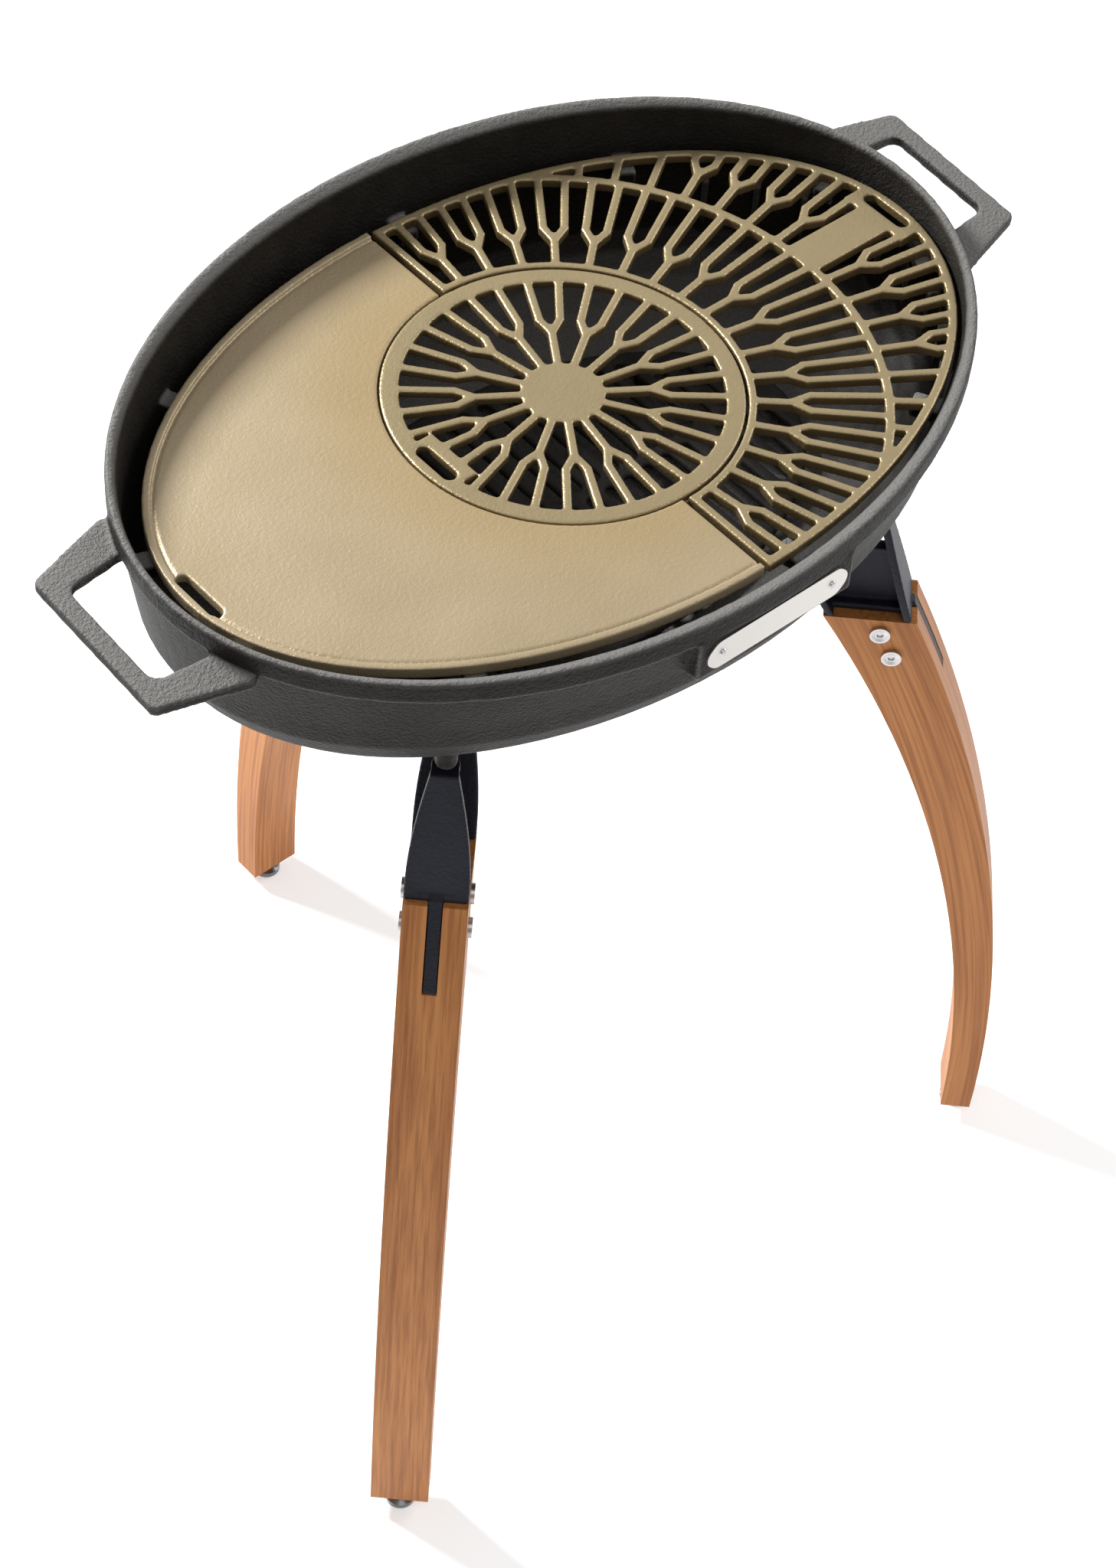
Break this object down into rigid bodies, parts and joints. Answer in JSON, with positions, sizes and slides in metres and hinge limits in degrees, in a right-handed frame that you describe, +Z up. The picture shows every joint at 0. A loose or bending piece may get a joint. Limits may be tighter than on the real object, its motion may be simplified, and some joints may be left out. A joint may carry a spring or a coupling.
{
  "type": "charcoal grill",
  "caption": "Oval cast-iron charcoal grill on curved wooden legs, with a flat griddle, a ribbed half grate and a round middle grate that lift out.",
  "frame": {"origin": "on the floor, at the bottom centre of the whole grill's box", "axes": "+Z up; +X along the two handles, towards the ribbed half grate; -Y towards the nameplate; +Y towards the single back leg"},
  "size_m": [0.688, 0.5378, 0.7778],
  "materials": {
    "bowl_iron": "coarse sand-cast dark grey",
    "griddle_iron": "pale gold orange-peel",
    "grate_iron": "bronze gold with bright edges",
    "bracket_iron": "blue-black, satin",
    "leg_wood": "oiled, fine straight grain",
    "plate_steel": "brushed",
    "screw_steel": "satin",
    "foot_steel": "dark polished"
  },
  "bodies": {
    "stand": {"bowl": "bowl_iron", "nameplate": "plate_steel", "nameplate_screws": "screw_steel", "bracket_left": "bracket_iron", "bracket_right": "bracket_iron", "bracket_back": "bracket_iron", "bracket_bolts_left": "screw_steel", "bracket_bolts_right": "screw_steel", "bracket_bolts_back": "screw_steel", "leg_left": "leg_wood", "leg_right": "leg_wood", "leg_back": "leg_wood", "leg_screws_left": "screw_steel", "leg_screws_right": "screw_steel", "leg_screws_back": "screw_steel", "leg_sleeves_left": "screw_steel", "leg_sleeves_right": "screw_steel", "leg_sleeves_back": "screw_steel", "foot_insert_left": "screw_steel", "foot_insert_right": "screw_steel", "foot_insert_back": "screw_steel", "foot_left": "foot_steel", "foot_right": "foot_steel", "foot_back": "foot_steel"},
    "griddle": {"griddle": "griddle_iron"},
    "half_grate": {"half_grate": "grate_iron"},
    "round_grate": {"round_grate": "grate_iron"},
    "charcoal_grate": {"charcoal_grate": "bowl_iron"}
  },
  "joints": [
    {"name": "griddle_lift", "type": "slide", "parent": "stand", "child": "griddle", "axis": [0, 0, 1], "range_m": [0, 0.12]},
    {"name": "round_grate_lift", "type": "slide", "parent": "griddle", "child": "round_grate", "axis": [0, 0, 1], "range_m": [0, 0.12]},
    {"name": "half_grate_lift", "type": "slide", "parent": "stand", "child": "half_grate", "axis": [0, 0, 1], "range_m": [0, 0.12]},
    {"name": "charcoal_grate_lift", "type": "slide", "parent": "stand", "child": "charcoal_grate", "axis": [0, 0, 1], "range_m": [0, 0.08]}
  ]
}
